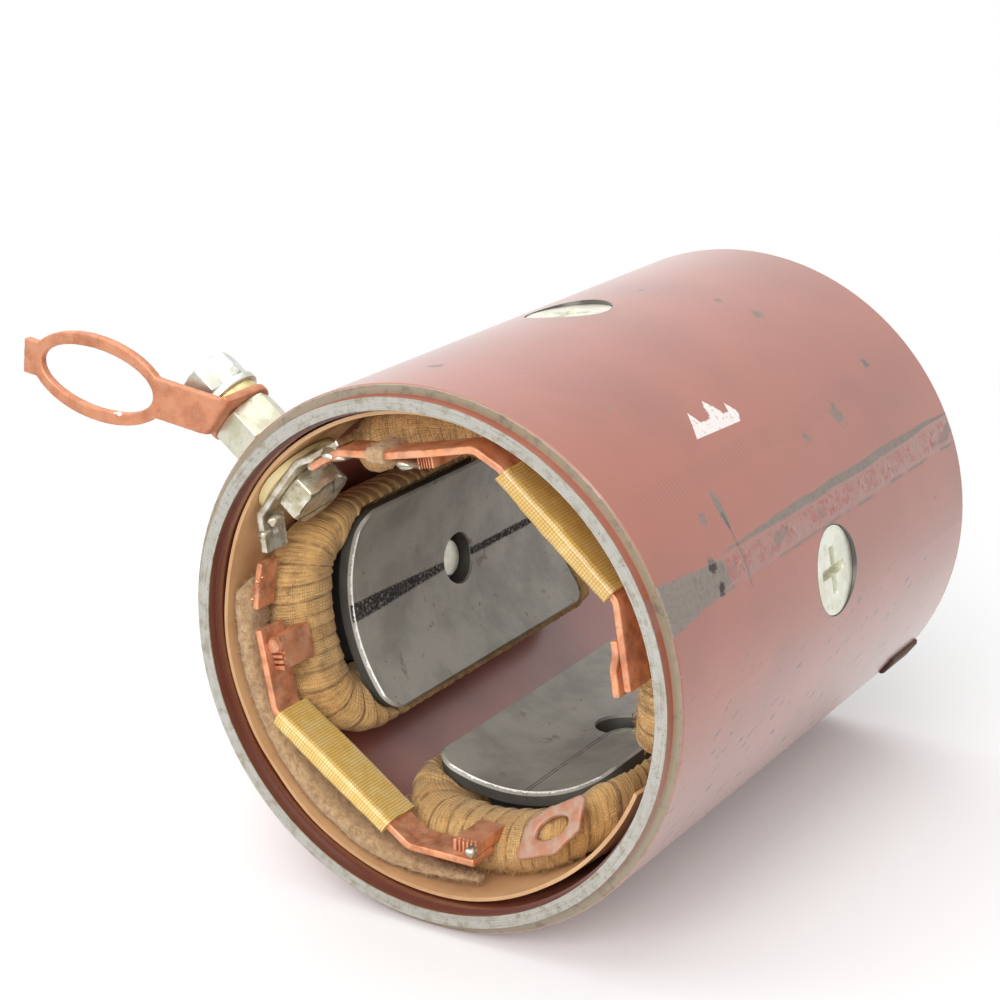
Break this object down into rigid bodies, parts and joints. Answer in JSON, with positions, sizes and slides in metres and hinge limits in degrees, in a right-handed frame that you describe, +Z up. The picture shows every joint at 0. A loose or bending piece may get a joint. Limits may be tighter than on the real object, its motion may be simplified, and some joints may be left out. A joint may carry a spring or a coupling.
{
  "type": "starter motor stator",
  "caption": "Painted steel yoke tube of a starter motor with pole shoes, taped field coils, copper jumpers and an insulated terminal with a copper link.",
  "frame": {"origin": "on the tube's axis, in the plane of the front rim", "axes": "+Y along the tube's axis from the front rim to the rear, +Z up as it lies on its side, with the terminal up to the left"},
  "size_m": [0.1626, 0.1462, 0.115],
  "materials": {
    "yoke_paint": "worn semi-gloss red oxide paint",
    "pole_steel": "ground steel, dark",
    "zinc_steel": "zinc plated",
    "spring_steel": "yellow passivated",
    "copper": "bare copper",
    "tinned_copper": "tinned, dull",
    "coil_tape": "varnished cotton tape",
    "felt": "fuzzy cotton sleeve",
    "glass_sleeve": "varnished woven sleeve",
    "pressboard": "tan pressboard",
    "fibre": "pale insulating fibre"
  },
  "bodies": {
    "root": {"yoke": "yoke_paint", "locating_key": "zinc_steel", "front_liner": "pressboard", "right_pole_shoe": "pole_steel", "right_pole_screw": "zinc_steel", "right_field_coil": "coil_tape", "right_winding_end": "copper", "top_pole_shoe": "pole_steel", "top_pole_screw": "zinc_steel", "top_field_coil": "coil_tape", "top_winding_end": "copper", "left_pole_shoe": "pole_steel", "left_pole_screw": "zinc_steel", "left_field_coil": "coil_tape", "left_winding_end": "copper", "bottom_pole_shoe": "pole_steel", "bottom_pole_screw": "zinc_steel", "bottom_field_coil": "coil_tape", "bottom_winding_end": "copper", "lower_jumper": "copper", "upper_jumper": "copper", "lower_sleeve": "glass_sleeve", "upper_sleeve": "glass_sleeve", "cotton_tie": "felt", "felt_lead": "felt", "felt_lead_tab": "copper", "brush_eyelet": "copper", "terminal_stud": "zinc_steel", "terminal_bush": "fibre", "fibre_washer": "fibre", "terminal_strap": "tinned_copper", "terminal_lower_nut": "zinc_steel", "terminal_top_nut": "zinc_steel", "terminal_flat_washer": "zinc_steel", "terminal_spring_washer": "spring_steel", "terminal_link": "copper"}
  },
  "joints": []
}
